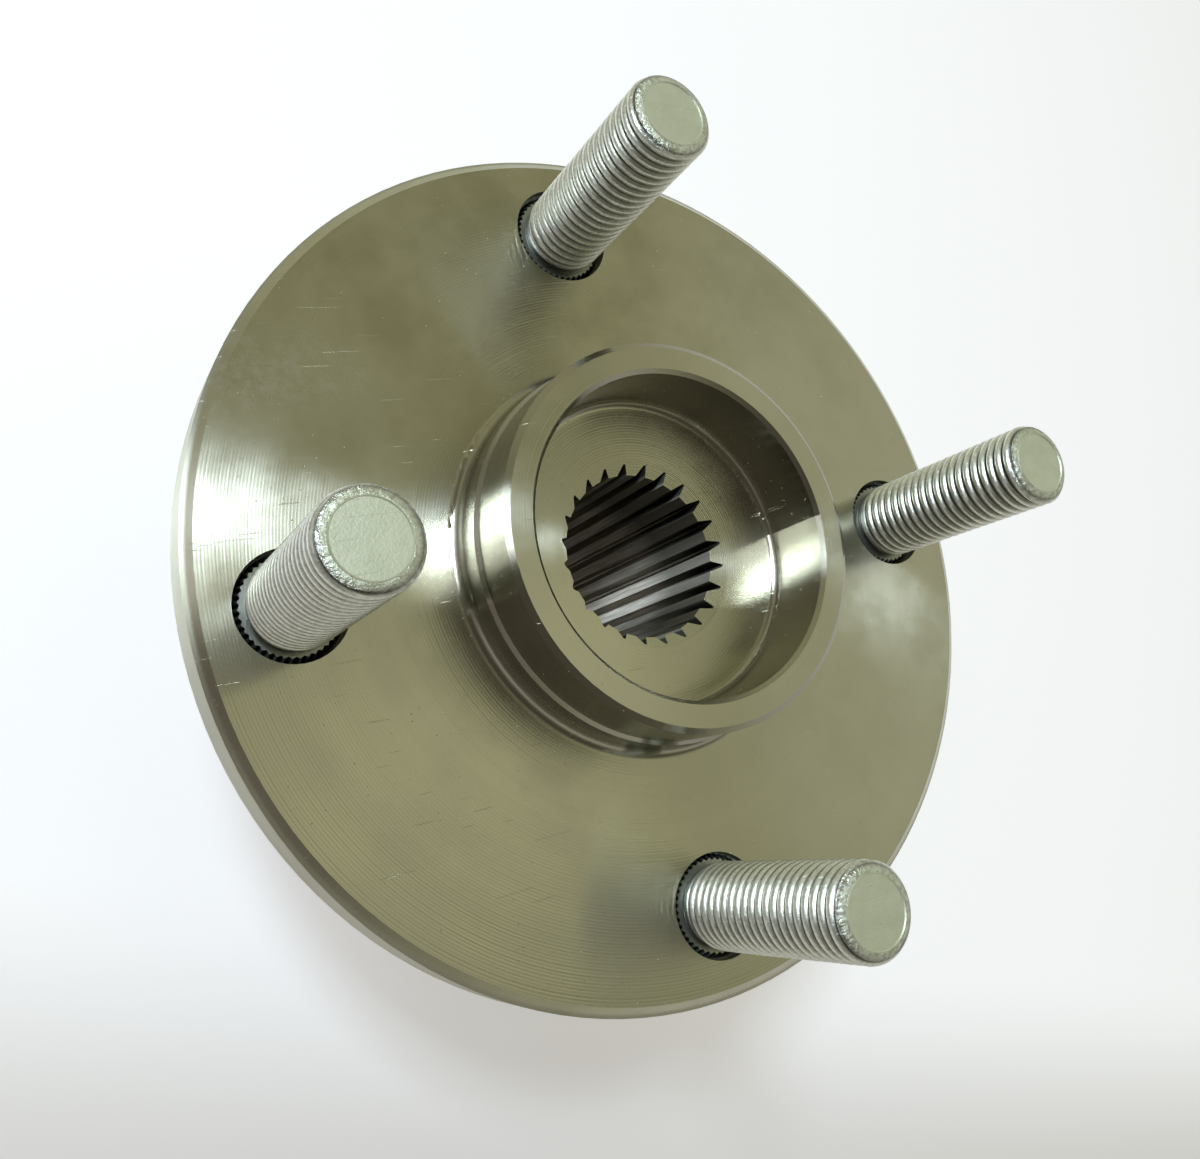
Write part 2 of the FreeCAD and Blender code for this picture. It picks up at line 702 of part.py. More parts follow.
def make_encoder_ring():
    """Magnetised rubber ring bonded on the slinger, which the wheel speed sensor reads."""
    inside = land_radius + size.encoder_inset
    outside = case_radius - size.encoder_gap
    turned_body("encoder_ring", [
        (inside, slinger_web_bottom),
        (outside, slinger_web_bottom),
        (outside, outer_bottom),
        (inside, outer_bottom),
    ])


def check_features():
    """Stop if anything in the document failed to build."""
    for item in doc.Objects:
        if "Invalid" in item.State or "Error" in item.State:
            raise RuntimeError(f"{item.Label} failed: {item.State}")


def sub_parts():
    kinds = ("PartDesign::Body", "Part::Sphere")
    return [item for item in doc.Objects if item.TypeId in kinds]


def export_parts():
    """Write each sub-part to a file named after it."""
    os.makedirs("parts", exist_ok=True)
    for item in sub_parts():
        if item.Shape.isNull() or not item.Shape.isValid():
            raise RuntimeError(f"{item.Label} is not a valid solid")
        if len(item.Shape.Solids) != 1:
            raise RuntimeError(f"{item.Label} is not one solid")
        item.Shape.exportStep(f"parts/{item.Label}.step")


make_hub_flange()
for stud_number in range(1, int(size.stud_count.value) + 1):
    make_wheel_stud(stud_number)
make_inner_ring()
make_outer_ring()
make_ball_row("outboard", outboard_row)
make_ball_row("inboard", inboard_row)
make_cage("outboard", outboard_row, 1)
make_cage("inboard", inboard_row, -1)
make_outboard_seal()
make_inboard_seal()
make_slinger()
make_encoder_ring()
doc.recompute()
check_features()
export_parts()
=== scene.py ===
import math
from types import SimpleNamespace

import bmesh
import bpy
from mathutils import Matrix, Vector


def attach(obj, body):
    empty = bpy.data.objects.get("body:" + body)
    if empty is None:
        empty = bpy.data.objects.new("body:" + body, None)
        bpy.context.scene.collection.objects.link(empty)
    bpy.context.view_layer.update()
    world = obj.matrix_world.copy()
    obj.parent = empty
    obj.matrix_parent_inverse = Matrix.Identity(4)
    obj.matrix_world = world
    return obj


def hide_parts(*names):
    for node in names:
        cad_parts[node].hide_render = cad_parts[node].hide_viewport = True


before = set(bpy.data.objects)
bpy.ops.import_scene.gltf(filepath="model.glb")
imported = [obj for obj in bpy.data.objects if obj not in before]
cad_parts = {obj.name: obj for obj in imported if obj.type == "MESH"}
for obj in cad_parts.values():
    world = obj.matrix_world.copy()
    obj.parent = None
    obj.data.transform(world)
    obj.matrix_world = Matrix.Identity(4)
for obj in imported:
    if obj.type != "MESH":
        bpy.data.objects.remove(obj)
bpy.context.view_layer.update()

MM = 0.001

# Wheel studs, in millimetres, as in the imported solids
STUD_COUNT = 4
STUD_CIRCLE_RADIUS = 50.0
STUD_TOP = 31.4
SHOULDER_HEIGHT = -1.0
FLANGE_BACK = -8.0
HEAD_RADIUS = 9.0
HEAD_BOTTOM = -12.2
HEAD_BEVEL = 0.8

# Thread: the neck above the shoulder is straight, then widens to the full thread at its top
THREAD_RADIUS = 5.97
THREAD_ROOT_RADIUS = 5.16
THREAD_PITCH = 1.5
NECK_RADIUS = 5.45
NECK_STRAIGHT = 0.6
NECK_TOP = 1.6
LEAD_BOTTOM = 30.6
LEAD_TOP = 31.15
LEAD_RADIUS = 5.4
END_RADIUS = 4.65

# Lower half of one ridge of the thread: depth below the crest, and height above the root
RIDGE_HALF = (
    (THREAD_RADIUS - THREAD_ROOT_RADIUS, 0.0), (0.55, 0.14), (0.34, 0.28),
    (0.16, 0.42), (0.04, 0.57), (0.0, THREAD_PITCH / 2),
)

# Rings stamped in the stud's end, from its edge inwards: width and rise of each
END_STAMP = ((0.20, 0.0), (0.10, -0.18), (0.14, 0.14))

# Toothed shank: the teeth slope outwards from the shoulder to their full size
TEETH = 42
POINTS_PER_TOOTH = 6
TOOTH_TIP_RADIUS = 6.98
TOOTH_VALLEY_RADIUS = 6.4
TOOTH_START_TIP_RADIUS = 6.45
TOOTH_START_VALLEY_RADIUS = 6.15
TOOTH_SLOPE_BOTTOM = -1.9
SHANK_INTO_HEAD = 0.2

# Stud head: the small bevel against the flange, and the dimple in its back
HEAD_EDGE = 0.15
DIMPLE_RADIUS = 3.2
DIMPLE_FLOOR_RADIUS = 2.8
DIMPLE_DEPTH = 0.4

# Degrees that each stud is turned about itself, times its number
STUD_OWN_TURN = 37.0

# Steps in a full turn, and the angle between faces below which an edge is shaded smooth
ROUND_STEPS = 64
SMOOTH_BELOW = math.radians(28.0)

# Millimetres within which points count as one, and within which turns of thread are joined
SAME_POINT = 0.0001
THREAD_SEAM = 0.001

# Surfaces of the hub that take their own finish, in millimetres
FLANGE_RADIUS = 62.35
STUD_HOLE_MOUTH_RADIUS = 7.25
RECESS_RADIUS = 22.6
RECESS_FLOOR = 2.75
SPLINE_MOUTH_RADIUS = 13.8
SPLINE_LAND_RADIUS = 11.95
SPLINE_BEVEL_BOTTOM = 0.9
# Walls within these radii of the axle are painted darker, as painted shade
SHADED_WALLS_WITHIN = 40.0
SHADED_WALLS_END = 45.0

# Dried mark of a hand: its middle, its turn and the scale that makes it an oval
HAND_SMEAR_PLACE = (-48.5, 30.0, 0.0)
HAND_SMEAR_TURN = math.radians(-58.0)
HAND_SMEAR_SCALE = (0.055, 0.13, 0.1)


# Node wiring

# Numbers of the Mix node's sockets: first, second and result
MIX_SOCKETS = {"RGBA": (6, 7, 2), "VECTOR": (4, 5, 1)}


class Wiring:
    """Puts nodes into one tree and links them."""

    def __init__(self, tree):
        self.tree = tree

    def put(self, kind, inputs=None, **settings):
        """A new node, with its settings and what goes into it."""
        node = self.tree.nodes.new(kind)
        for name, value in settings.items():
            setattr(node, name, value)
        for name, value in (inputs or {}).items():
            self.feed(node.inputs[name], value)
        return node

    def feed(self, socket, value):
        """Link a socket to another, or set its number or colour."""
        if isinstance(value, bpy.types.NodeSocket):
            self.tree.links.new(value, socket)
        else:
            socket.default_value = value

    def math(self, operation, *values):
        node = self.put("ShaderNodeMath", operation=operation)
        for socket, value in zip(node.inputs, values):
            self.feed(socket, value)
        return node.outputs[0]

    def times(self, first, *others):
        """The values multiplied together."""
        for other in others:
            first = self.math("MULTIPLY", first, other)
        return first

    def sum(self, base, *parts):
        """The base with other values added, each given with the share of it to add."""
        for value, share in parts:
            base = self.math("MULTIPLY_ADD", value, share, base)
        return base

    def rest(self, value):
        """What the value leaves of one."""
        return self.math("SUBTRACT", 1.0, value)

    def length(self, across, along):
        """The distance that two lengths at a right angle come to."""
        squares = self.math("ADD", self.times(across, across), self.times(along, along))
        return self.math("SQRT", squares)

    def between(self, value, low, high, new_low=0.0, new_high=1.0):
        """The value's way from low to high, smoothed and held at both ends."""
        node = self.put("ShaderNodeMapRange", interpolation_type="SMOOTHSTEP", inputs={
            "Value": value, "From Min": low, "From Max": high,
            "To Min": new_low, "To Max": new_high,
        })
        return node.outputs["Result"]

    def straight(self, value, low, high):
        """The value's way from low to high in a straight line, held at both ends."""
        return self.put("ShaderNodeMapRange", inputs={
            "Value": value, "From Min": low, "From Max": high,
        }).outputs["Result"]

    def mix(self, factor, first, second, kind="RGBA"):
        """The first colour or vector, giving way to the second by a factor."""
        first_socket, second_socket, result = MIX_SOCKETS[kind]
        node = self.put("ShaderNodeMix", data_type=kind)
        self.feed(node.inputs["Factor"], factor)
        self.feed(node.inputs[first_socket], first)
        self.feed(node.inputs[second_socket], second)
        return node.outputs[result]

    def coats(self, colour, *layers):
        """The colour under coats, each given as its mask and its own colour."""
        for mask, coat in layers:
            colour = self.mix(mask, colour, coat)
        return colour

    def noise(self, vector, scale, detail, roughness=0.5):
        return self.put("ShaderNodeTexNoise", inputs={
            "Vector": vector, "Scale": scale, "Detail": detail, "Roughness": roughness,
        }).outputs["Fac"]

    def line_noise(self, length, scale, detail):
        """Noise along one length only, so it makes even rings or lines."""
        return self.put("ShaderNodeTexNoise", noise_dimensions="1D", inputs={
            "W": length, "Scale": scale, "Detail": detail,
        }).outputs["Fac"]

    def stretched(self, vector, scale, turn=0.0):
        """Coordinates scaled, and turned about the axle axis."""
        return self.put("ShaderNodeMapping", inputs={
            "Vector": vector, "Rotation": (0.0, 0.0, turn), "Scale": scale,
        }).outputs["Vector"]

    def place(self):
        """Object coordinates in millimetres, with the distance from the axle axis."""
        point = self.put("ShaderNodeTexCoord").outputs["Object"]
        vector = self.put("ShaderNodeVectorMath", operation="SCALE", inputs={
            0: point, "Scale": 1 / MM,
        }).outputs["Vector"]
        across, along, up = self.put("ShaderNodeSeparateXYZ", inputs={"Vector": vector}).outputs
        return SimpleNamespace(
            vector=vector, across=across, along=along, up=up, radius=self.length(across, along))

    def upward(self):
        """How squarely the surface faces outboard along the axle axis."""
        normal = self.put("ShaderNodeTexCoord").outputs["Normal"]
        return self.put("ShaderNodeSeparateXYZ", inputs={"Vector": normal}).outputs["Z"]

    def flatness(self):
        """One on faces square to the axle axis, zero on walls and bevels."""
        return self.between(self.math("ABSOLUTE", self.upward()), 0.93, 0.985)


def rgb(red, green, blue):
    """An opaque colour."""
    return (red, green, blue, 1.0)


def new_group(name, inputs, outputs):
    """An empty node group with named numbers going in and coming out."""
    tree = bpy.data.node_groups.new(name, "ShaderNodeTree")
    for label, value in inputs.items():
        socket = tree.interface.new_socket(label, in_out="INPUT", socket_type="NodeSocketFloat")
        socket.default_value = value
    for label in outputs:
        tree.interface.new_socket(label, in_out="OUTPUT", socket_type="NodeSocketFloat")
    wiring = Wiring(tree)
    start = wiring.put("NodeGroupInput")
    end = wiring.put("NodeGroupOutput")
    return tree, wiring, start.outputs, end.inputs


def make_lathe_marks():
    """Fine rings left by the turning tool, round faces and along cylinders alike."""
    tree, wiring, given, result = new_group("lathe_marks", {"Feed": 0.3}, ["Height", "Band"])
    place = wiring.place()
    path = wiring.math("ADD", place.radius, wiring.times(place.up, 1.31))
    feeds = wiring.math("DIVIDE", path, given["Feed"])
    wave = wiring.math("SINE", wiring.times(feeds, math.tau))
    uneven = wiring.line_noise(feeds, 0.9, 3.0)
    wiring.feed(result["Height"], wiring.sum(uneven, (wave, 0.2)))
    wiring.feed(result["Band"], wiring.line_noise(feeds, 0.06, 2.0))
    return tree


def make_handling_marks():
    """Hair scratches, small pits, nicks and smudges of oil."""
    tree, wiring, given, result = new_group(
        "handling_marks", {"Scratches": 0.5, "Pits": 0.05, "Nicks": 0.05},
        ["Scratch", "Pit", "Nick", "Smudge"])
    vector = wiring.place().vector
    first, second, third = (
        wiring.noise(wiring.stretched(vector, (0.09, 2.6, 0.6), turn), 1.0, 1.0)
        for turn in (0.35, 1.4, 2.6))
    strongest = wiring.math("MAXIMUM", wiring.math("MAXIMUM", first, second), third)
    edge = wiring.math("SUBTRACT", 0.80, wiring.times(given["Scratches"], 0.1))
    wiring.feed(result["Scratch"], wiring.between(strongest, edge, wiring.math("ADD", edge, 0.04)))
    cells = wiring.put("ShaderNodeTexVoronoi", inputs={
        "Vector": wiring.stretched(vector, (1.0, 1.5, 1.2)), "Scale": 1.1, "Randomness": 1.0,
    })
    spot = wiring.between(cells.outputs["Distance"], 0.13, 0.06)
    picked = wiring.put(
        "ShaderNodeSeparateColor", inputs={"Color": cells.outputs["Color"]}).outputs
    for label, channel, share in (("Pit", 0, given["Pits"]), ("Nick", 1, given["Nicks"])):
        chosen = wiring.math("LESS_THAN", picked[channel], share)
        wiring.feed(result[label], wiring.times(spot, chosen))
    wiring.feed(result["Smudge"], wiring.noise(vector, 0.06, 4.0, 0.6))
    return tree


lathe_marks = make_lathe_marks()
handling_marks = make_handling_marks()


def new_finish(name):
    """A material with its wiring and its Principled shader."""
    material = bpy.data.materials.new(name)
    material.use_nodes = True
    wiring = Wiring(material.node_tree)
    shader = material.node_tree.nodes["Principled BSDF"]
    return material, wiring, shader


def place_group(wiring, tree, **values):
    """A shared effect placed in a material with its own values, as what it puts out."""
    node = wiring.put("ShaderNodeGroup", node_tree=tree)
    for name, value in values.items():
        wiring.feed(node.inputs[name], value)
    return node.outputs


def set_surface(wiring, shader, colour, dullness, metallic=0.0):
    """Give the shader its colour, its roughness and how metallic it is."""
    wiring.feed(shader.inputs["Base Color"], colour)
    wiring.feed(shader.inputs["Roughness"], dullness)
    shader.inputs["Metallic"].default_value = metallic


def turned_gloss(wiring, shader, amount):
    """Gloss that spreads across the rings of the tool."""
    tangent = wiring.put("ShaderNodeTangent", direction_type="RADIAL", axis="Z")
    wiring.feed(shader.inputs["Tangent"], tangent.outputs["Tangent"])
    shader.inputs["Anisotropic"].default_value = amount
    shader.inputs["Anisotropic Rotation"].default_value = 0.25


def bump(wiring, shader, height, distance, strength):
    """Fine relief too small to model, its distance in metres."""
    node = wiring.put("ShaderNodeBump", inputs={
        "Height": height, "Distance": distance, "Strength": strength,
    })
    wiring.feed(shader.inputs["Normal"], node.outputs["Normal"])
    return node


# Hub flange

STEEL_DARK = rgb(0.495, 0.485, 0.395)
STEEL_PALE = rgb(0.58, 0.57, 0.475)
SMEARED_STEEL = rgb(0.78, 0.79, 0.78)
# Painted shade on the walls near the axle
WALL_PAINTED_SHADE = rgb(0.39, 0.375, 0.31)
PIT_DIRT = rgb(0.08, 0.07, 0.055)
# Fresh metal of a nick, paler than steel: partly a real nick, partly a painted glint
NICK_WITH_PAINTED_GLINT = rgb(0.95, 0.96, 0.93)
# Painted shade on the walls of the stud holes
HOLE_PAINTED_SHADE = rgb(0.24, 0.25, 0.22)
BROACHED_DARK = rgb(0.42, 0.38, 0.315)
BROACHED_PALE = rgb(0.66, 0.61, 0.53)
# Darker steel of the spline, towards its mouth
SPLINE_DARK = rgb(0.17, 0.16, 0.13)
GROOVE_SHADE = rgb(0.03, 0.03, 0.025)


def hand_smear(wiring, place):
    """Dried mark of a hand near the rim of the flange, upper left."""
    offset = wiring.put("ShaderNodeVectorMath", operation="SUBTRACT", inputs={
        0: place.vector, 1: HAND_SMEAR_PLACE,
    }).outputs["Vector"]
    oval = wiring.stretched(offset, HAND_SMEAR_SCALE, HAND_SMEAR_TURN)
    away = wiring.put("ShaderNodeVectorMath", operation="LENGTH", inputs={0: oval}).outputs["Value"]
    ragged = wiring.sum(away, (wiring.noise(place.vector, 0.35, 4.0, 0.7), 1.2))
    streaks = wiring.between(wiring.noise(place.vector, 0.6, 4.0, 0.65), 0.35, 0.70)
    return wiring.times(wiring.between(ragged, 1.5, 0.7), streaks)


def stud_distance(wiring, place):
    """Distance from the axis of the nearest stud."""
    distances = []
    for near, far in ((place.across, place.along), (place.along, place.across)):
        off = wiring.math("SUBTRACT", wiring.math("ABSOLUTE", near), STUD_CIRCLE_RADIUS)
        distances.append(wiring.length(off, far))
    return wiring.math("MINIMUM", *distances)


def shaded_hole_walls(wiring, place):
    """One on the walls of the stud holes, which are painted darker as shade."""
    mouth = STUD_HOLE_MOUTH_RADIUS
    return wiring.times(
        wiring.between(stud_distance(wiring, place), mouth + 0.2, mouth + 0.05),
        wiring.between(place.up, -0.02, -0.15),
        wiring.between(place.up, FLANGE_BACK + 0.4, FLANGE_BACK + 1.0))


def mouth_bevel(wiring, place):
    """One on the bevel round the spline's mouth, where the lands meet the recess floor."""
    return wiring.times(
        wiring.between(wiring.upward(), 0.45, 0.6),
        wiring.between(place.radius, SPLINE_MOUTH_RADIUS + 0.2, SPLINE_MOUTH_RADIUS + 0.05),
        wiring.between(place.up, SPLINE_BEVEL_BOTTOM - 0.4, SPLINE_BEVEL_BOTTOM - 0.1))


def splined_bore(wiring, place, bevel):
    """One inside the bore and its grooves, apart from the bevel at the mouth."""
    return wiring.times(
        wiring.between(place.radius, SPLINE_MOUTH_RADIUS + 0.2, SPLINE_MOUTH_RADIUS - 0.02),
        wiring.between(place.up, RECESS_FLOOR - 0.05, RECESS_FLOOR - 0.35),
        wiring.rest(bevel))


def broached_steel(wiring, place):
    """Colour of the spline: drawn lines, darker towards the mouth and a little towards +Y, and dark
    ends of the grooves.
    """
    drawn = wiring.noise(wiring.stretched(place.vector, (2.4, 2.4, 0.12)), 1.0, 4.0, 0.6)
    # Darker towards the mouth, and a little towards +Y
    darkening = wiring.math(
        "ADD", wiring.between(place.up, -20.0, -8.0),
        wiring.between(place.along, -4.0, 6.0, 0.0, 0.2))
    notch = wiring.times(
        wiring.between(place.radius, SPLINE_LAND_RADIUS + 0.1, SPLINE_LAND_RADIUS + 0.45),
        wiring.between(place.up, -9.0, -2.0))
    return wiring.coats(
        wiring.mix(wiring.between(drawn, 0.35, 0.65), BROACHED_DARK, BROACHED_PALE),
        (wiring.times(wiring.math("MINIMUM", darkening, 1.0), 0.9), SPLINE_DARK),
        (wiring.times(notch, 0.9), GROOVE_SHADE))


def level_normal(wiring, share):
    """The surface's own normal, turned upright by a share."""
    own = wiring.put("ShaderNodeNewGeometry").outputs["Normal"]
    turned = wiring.mix(share, own, (0.0, 0.0, 1.0), "VECTOR")
    return wiring.put(
        "ShaderNodeVectorMath", operation="NORMALIZE", inputs={0: turned}).outputs["Vector"]


def finish_turned_steel():
    """Hub flange: fine turned faces, walls near the axle painted darker as shade, broached spline,
    and painted shade in the stud holes.
    """
    material, wiring, shader = new_finish("turned_steel")
    place = wiring.place()
    rings = place_group(wiring, lathe_marks, Feed=0.42)
    marks = place_group(wiring, handling_marks, Scratches=0.45, Pits=0.07, Nicks=0.05)
    smear = hand_smear(wiring, place)
    hole = shaded_hole_walls(wiring, place)
    bevel = mouth_bevel(wiring, place)
    bore = splined_bore(wiring, place, bevel)
    flat = wiring.math("MAXIMUM", wiring.flatness(), bevel)
    wall = wiring.rest(flat)
    wall_shade = wiring.times(wall, wiring.between(place.radius, SHADED_WALLS_END, SHADED_WALLS_WITHIN))
    rim_wall = wiring.times(
        wall, wiring.between(place.radius, FLANGE_RADIUS - 0.85, FLANGE_RADIUS - 0.15))

    steel = wiring.coats(
        wiring.mix(wiring.between(marks["Smudge"], 0.3, 0.7), STEEL_DARK, STEEL_PALE),
        (wiring.times(smear, 0.30), SMEARED_STEEL),
        # Walls near the axle: painted shade
        (wall_shade, WALL_PAINTED_SHADE),
        (wiring.times(marks["Pit"], 0.8), PIT_DIRT),
        # Nicks: real dents, painted paler as a glint
        (wiring.times(marks["Nick"], 0.8), NICK_WITH_PAINTED_GLINT),
        (bore, broached_steel(wiring, place)),
        # Stud-hole walls: painted shade
        (hole, HOLE_PAINTED_SHADE))

    face_dullness = wiring.sum(
        wiring.between(marks["Smudge"], 0.35, 0.65, 0.165, 0.235),
        (rings["Band"], 0.05),
        (wiring.between(place.radius, RECESS_RADIUS + 0.9, RECESS_RADIUS - 0.6), -0.02),
        (smear, 0.10))
    wall_dullness = wiring.sum(0.15, (rings["Band"], 0.05))
    dullness = wiring.sum(
        wall_dullness,
        (flat, wiring.math("SUBTRACT", face_dullness, wall_dullness)),
        (bore, 0.50), (rim_wall, 0.18), (hole, 0.25), (marks["Nick"], 0.3))
    set_surface(wiring, shader, steel, dullness, metallic=1.0)
    turned_gloss(wiring, shader, 1.0)

    height = wiring.sum(
        wiring.times(rings["Height"], wiring.sum(0.2, (flat, 0.8))),
        (marks["Pit"], -1.5), (marks["Nick"], -8.0), (marks["Scratch"], -0.6))
    relief = bump(wiring, shader, height, 0.00002, 0.65)
    wiring.feed(relief.inputs["Normal"], level_normal(wiring, bevel))
    return material


# Stud coating

ZINC_DARK = rgb(0.59, 0.605, 0.545)
ZINC_PALE = rgb(0.76, 0.775, 0.705)
ZINC_BLOTCH = rgb(0.82, 0.84, 0.775)
END_DARK = rgb(0.60, 0.64, 0.51)
END_PALE = rgb(0.80, 0.83, 0.72)
TORN_ZINC = rgb(0.36, 0.36, 0.27)
# Real stains of pits, and painted shade in the ring stamped in the stud's end
STAIN_AND_GROOVE_SHADE = rgb(0.16, 0.15, 0.10)
# Painted shade in the thread's roots
ROOT_PAINTED_SHADE = rgb(0.09, 0.09, 0.075)
# Shank in the stud hole: its own darker steel with painted shade, darkest in the valleys
SHOULDER_STEEL_AND_SHADE = rgb(0.33, 0.345, 0.31)
TOOTH_VALLEY_SHADE = rgb(0.04, 0.04, 0.037)
WORN_TOOTH = rgb(0.40, 0.41, 0.38)


def pressed_steel(wiring, place, distance):
    """Colour of the toothed shank in its hole: a plain shoulder, partly its own darker steel and
    partly painted shade, painted shade in the valleys, and worn tips.
    """
    depth = wiring.straight(place.up, SHOULDER_HEIGHT, TOOTH_SLOPE_BOTTOM)
    valley = wiring.sum(
        TOOTH_START_VALLEY_RADIUS, (depth, TOOTH_VALLEY_RADIUS - TOOTH_START_VALLEY_RADIUS))
    tip = wiring.sum(TOOTH_START_TIP_RADIUS, (depth, TOOTH_TIP_RADIUS - TOOTH_START_TIP_RADIUS))
    tooth = wiring.between(distance, wiring.math("ADD", valley, 0.08), tip)
    toothed = wiring.mix(tooth, TOOTH_VALLEY_SHADE, WORN_TOOTH)
    return wiring.mix(wiring.between(depth, 0.0, 0.02), SHOULDER_STEEL_AND_SHADE, toothed)


def finish_zinc_flake():
    """Studs: dull silver zinc coating, with painted shade in the thread's roots, and darker on the
    toothed shank.
    """
    material, wiring, shader = new_finish("zinc_flake")
    place = wiring.place()
    up, distance = place.up, stud_distance(wiring, place)
    marks = place_group(wiring, handling_marks, Scratches=0.9, Pits=0.10, Nicks=0.25)
    grain = wiring.noise(place.vector, 4.5, 3.0, 0.6)
    flake = wiring.noise(place.vector, 2.2, 3.0, 0.65)
    blotch = wiring.noise(place.vector, 0.4, 3.0, 0.55)
    torn = wiring.between(wiring.noise(place.vector, 1.6, 4.0, 0.6), 0.38, 0.66)

    end_face = wiring.between(up, STUD_TOP - 0.15, STUD_TOP - 0.1)
    rolled_edge = wiring.times(
        wiring.between(up, LEAD_BOTTOM + 0.1, LEAD_BOTTOM + 0.3),
        wiring.between(distance, END_RADIUS - 0.3, END_RADIUS - 0.15))
    stamped_ring = wiring.times(
        wiring.between(up, STUD_TOP - 0.04, STUD_TOP - 0.12),
        wiring.between(distance, END_RADIUS - 0.23, END_RADIUS - 0.27))
    # Thread roots, where shade is painted
    root = wiring.times(
        wiring.between(distance, THREAD_ROOT_RADIUS + 0.48, THREAD_ROOT_RADIUS + 0.24),
        wiring.between(up, STUD_TOP - 0.1, STUD_TOP - 0.4),
        wiring.between(up, SHOULDER_HEIGHT + 0.02, SHOULDER_HEIGHT + 0.1))
    buried = wiring.times(
        wiring.between(up, SHOULDER_HEIGHT + 0.1, SHOULDER_HEIGHT + 0.02),
        wiring.between(up, FLANGE_BACK - 0.1, FLANGE_BACK + 0.1))
    # Painted shade in the stamped ring, with real stains of pits
    stain_and_groove_shade = wiring.math("MAXIMUM", stamped_ring, wiring.times(marks["Pit"], 0.6))

    zinc = wiring.coats(
        wiring.mix(wiring.between(flake, 0.35, 0.65), ZINC_DARK, ZINC_PALE),
        (wiring.times(wiring.between(blotch, 0.45, 0.75), 0.5), ZINC_BLOTCH),
        (end_face, wiring.mix(blotch, END_DARK, END_PALE)),
        (wiring.times(rolled_edge, torn, 0.6), TORN_ZINC),
        (stain_and_groove_shade, STAIN_AND_GROOVE_SHADE),
        (wiring.times(root, 0.9), ROOT_PAINTED_SHADE),
        (buried, pressed_steel(wiring, place, distance)))
    dullness = wiring.sum(0.235, (grain, 0.18), (end_face, 0.14))
    set_surface(wiring, shader, zinc, dullness, metallic=0.9)
    height = wiring.sum(
        grain, (flake, 1.5), (rolled_edge, wiring.times(torn, 4.0)),
        (marks["Nick"], -1.2), (marks["Scratch"], -0.8))
    bump(wiring, shader, height, 0.00005, 0.4)
    return material


# Rings, balls, cages and seals

def finish_ring_steel(
        name, feed, scratches, pits, nicks, dark, pale, pit_dirt, pit_share,
        dullness, smudge_share, relief, relief_share):
    """Turned or ground ring: rings of the tool, smudges of oil and a few pits."""
    material, wiring, shader = new_finish(name)
    rings = place_group(wiring, lathe_marks, Feed=feed)
    marks = place_group(wiring, handling_marks, Scratches=scratches, Pits=pits, Nicks=nicks)
    steel = wiring.coats(
        wiring.mix(marks["Smudge"], dark, pale), (wiring.times(marks["Pit"], pit_share), pit_dirt))
    uneven = wiring.sum(dullness, (rings["Band"], 0.12), (marks["Smudge"], smudge_share))
    set_surface(wiring, shader, steel, uneven, metallic=1.0)
    turned_gloss(wiring, shader, 0.7)
    height = wiring.sum(rings["Height"], (marks["Scratch"], -0.6))
    bump(wiring, shader, height, relief, relief_share)
    return material


def finish_ground_steel():
    """Inner ring: ground and honed bearing steel."""
    return finish_ring_steel(
        "ground_steel", feed=0.18, scratches=0.25, pits=0.03, nicks=0.02,
        dark=rgb(0.52, 0.52, 0.50), pale=rgb(0.60, 0.60, 0.585),
        pit_dirt=rgb(0.12, 0.11, 0.10), pit_share=0.6,
        dullness=0.20, smudge_share=0.08, relief=0.000008, relief_share=0.5)


def finish_turned_forging():
    """Outer ring: turned forging."""
    return finish_ring_steel(
        "turned_forging", feed=0.45, scratches=0.4, pits=0.06, nicks=0.04,
        dark=rgb(0.46, 0.455, 0.41), pale=rgb(0.55, 0.545, 0.49),
        pit_dirt=rgb(0.11, 0.10, 0.09), pit_share=0.7,
        dullness=0.28, smudge_share=0.1, relief=0.00002, relief_share=0.6)


def finish_ball_steel():
    """Balls: polished chrome steel with a trace of grease."""
    material, wiring, shader = new_finish("polished_balls")
    marks = place_group(wiring, handling_marks, Scratches=0.1, Pits=0.0, Nicks=0.0)
    steel = wiring.mix(marks["Smudge"], rgb(0.70, 0.70, 0.71), rgb(0.78, 0.78, 0.79))
    set_surface(wiring, shader, steel, wiring.sum(0.03, (marks["Smudge"], 0.10)), metallic=1.0)
    bump(wiring, shader, marks["Scratch"], 0.000004, 0.4)
    return material


def finish_cage_plastic():
    """Cages: glass-filled polyamide, cream, with the glint of short fibres."""
    material, wiring, shader = new_finish("cage_plastic")
    fibres = wiring.stretched(wiring.place().vector, (3.0, 3.0, 12.0))
    streak = wiring.noise(fibres, 1.0, 3.0, 0.6)
    cream = wiring.mix(streak, rgb(0.70, 0.65, 0.50), rgb(0.82, 0.78, 0.65))
    set_surface(wiring, shader, cream, wiring.sum(0.4, (streak, 0.2)))
    bump(wiring, shader, streak, 0.00002, 0.5)
    return material


def finish_sheet_steel():
    """Seal cases and slinger: pressed sheet, drawn and slightly dull."""
    material, wiring, shader = new_finish("pressed_sheet")
    marks = place_group(wiring, handling_marks, Scratches=0.3, Pits=0.03, Nicks=0.03)
    rings = place_group(wiring, lathe_marks, Feed=0.7)
    steel = wiring.mix(marks["Smudge"], rgb(0.44, 0.44, 0.44), rgb(0.56, 0.56, 0.55))
    set_surface(wiring, shader, steel, wiring.sum(0.26, (marks["Smudge"], 0.16)), metallic=1.0)
    bump(wiring, shader, rings["Height"], 0.00001, 0.4)
    return material


